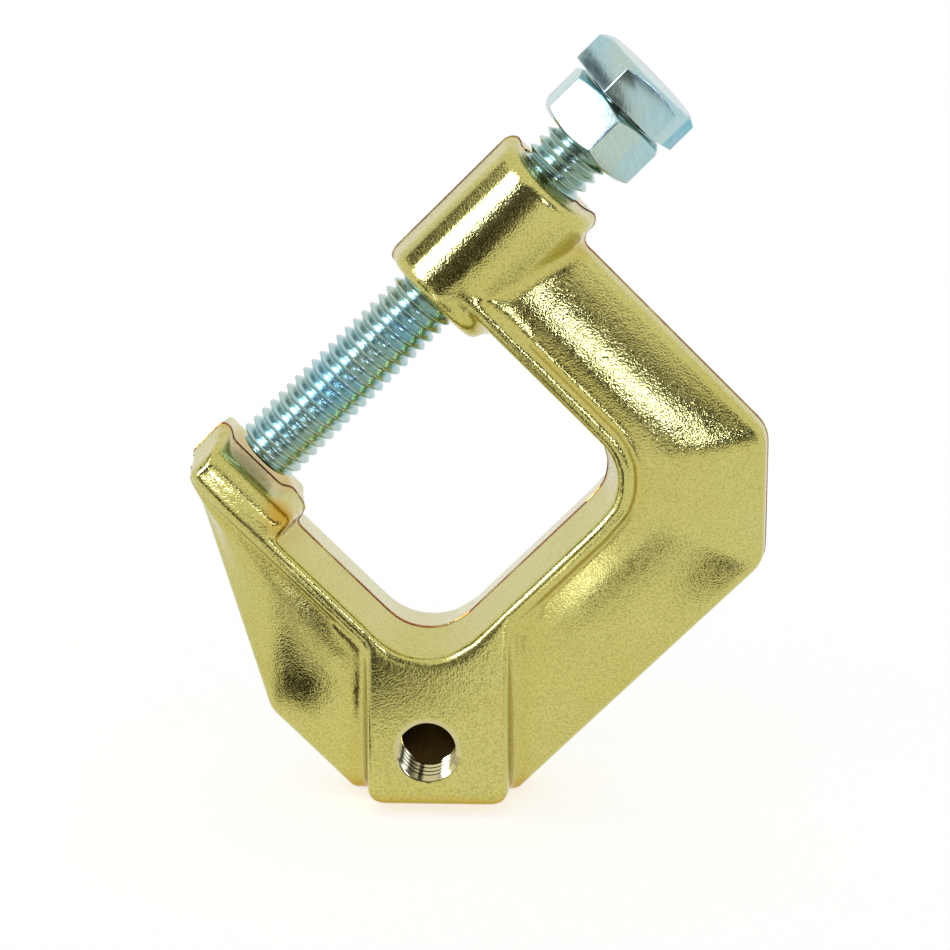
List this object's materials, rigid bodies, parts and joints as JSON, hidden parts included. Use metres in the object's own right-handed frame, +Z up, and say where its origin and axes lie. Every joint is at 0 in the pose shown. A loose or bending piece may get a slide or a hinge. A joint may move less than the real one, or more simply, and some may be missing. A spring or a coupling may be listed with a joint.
{
  "type": "earth rod clamp",
  "caption": "C-shaped forged brass clamp with a hexagon-head jaw screw and lock nut, and a tapped block that takes an earthing cable.",
  "frame": {"origin": "middle of the floor of the jaw seat, on the parting plane", "axes": "the C stands in the XZ plane with its jaw screw rising at 45 degrees towards +X and +Z, +Z up, and the face with the tapped hole looks towards -Y"},
  "size_m": [0.1036, 0.028, 0.1387],
  "materials": {
    "forged_brass": "bright forged, finely grained",
    "zinc_plated_steel": "blue passivated zinc plating",
    "zinc_plated_nut": "blue passivated zinc plating"
  },
  "bodies": {
    "frame": {"clamp_frame": "forged_brass"},
    "screw": {"clamp_screw": "zinc_plated_steel"},
    "nut": {"lock_nut": "zinc_plated_nut"}
  },
  "joints": [
    {"name": "screw_feed", "type": "slide", "parent": "frame", "child": "screw", "axis": [0.7071, 0, 0.7071], "range_m": [-0.0017, 0.0425]},
    {"name": "nut_feed", "type": "slide", "parent": "screw", "child": "nut", "axis": [0.7071, 0, 0.7071], "range_m": [-0.0047, 0]}
  ]
}
